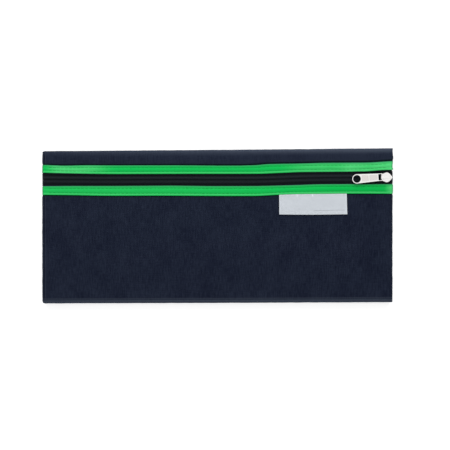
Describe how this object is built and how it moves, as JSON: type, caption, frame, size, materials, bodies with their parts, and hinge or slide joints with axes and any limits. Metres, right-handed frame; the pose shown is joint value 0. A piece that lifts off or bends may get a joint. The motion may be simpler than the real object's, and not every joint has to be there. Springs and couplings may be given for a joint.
{
  "type": "pencil bag",
  "caption": "Flat zip pencil bag of dark woven cloth with bright ribbons along the zip, a sewn-on cloth label and a metal slider with a long ring pull.",
  "frame": {"origin": "under the middle of the bag, on the face that it lies on", "axes": "+X along the zip towards its closed end, +Y from the bottom seam towards the top seam, +Z out of the front"},
  "size_m": [0.3498, 0.1528, 0.0119],
  "materials": {
    "navy_cloth": "dark navy woven cloth with fine lengthways slubs, matt",
    "green_ribbon": "bright green ribbed ribbon, slightly lustrous",
    "black_tape": "black woven zip tape, matt",
    "black_coil": "black moulded coil, satin",
    "nickel": "bright satin nickel plate",
    "label_cloth": "pale grey satin cloth, bare"
  },
  "bodies": {
    "root": {"back_panel": "navy_cloth", "front_panel": "navy_cloth", "ribbon_lower": "green_ribbon", "zip_tape_lower": "black_tape", "zip_coil_lower": "black_coil"},
    "flap": {"top_panel": "navy_cloth", "ribbon_upper": "green_ribbon", "zip_tape_upper": "black_tape", "zip_coil_upper": "black_coil"},
    "slider": {"slider_body": "nickel", "slider_cap": "nickel"},
    "pull": {"pull_tab": "nickel"},
    "label": {"name_label": "label_cloth"}
  },
  "joints": [
    {"name": "slider_travel", "type": "slide", "parent": "root", "child": "slider", "axis": [1, 0, 0], "range_m": [-0.33, 0], "deforming": ["zip_tape_upper", "zip_tape_lower", "zip_coil_upper", "zip_coil_lower"]},
    {"name": "mouth_opening", "type": "hinge", "parent": "root", "child": "flap", "pos_m": [0, 0.07635, 0.0042], "axis": [-1, 0, 0], "range_deg": [0, 60]},
    {"name": "pull_swing", "type": "hinge", "parent": "slider", "child": "pull", "pos_m": [0.16412, 0.048, 0.0101], "axis": [-0.0698, 0.9976, 0], "range_deg": [0, 120]},
    {"name": "label_lift", "type": "hinge", "parent": "root", "child": "label", "pos_m": [0.09585, 0.03195, 0.0088], "axis": [-1, 0, 0], "range_deg": [0, 90]}
  ],
  "couplings": [
    {"joint": "mouth_opening", "follows": "slider_travel", "rad_per_m": -3.1733}
  ]
}
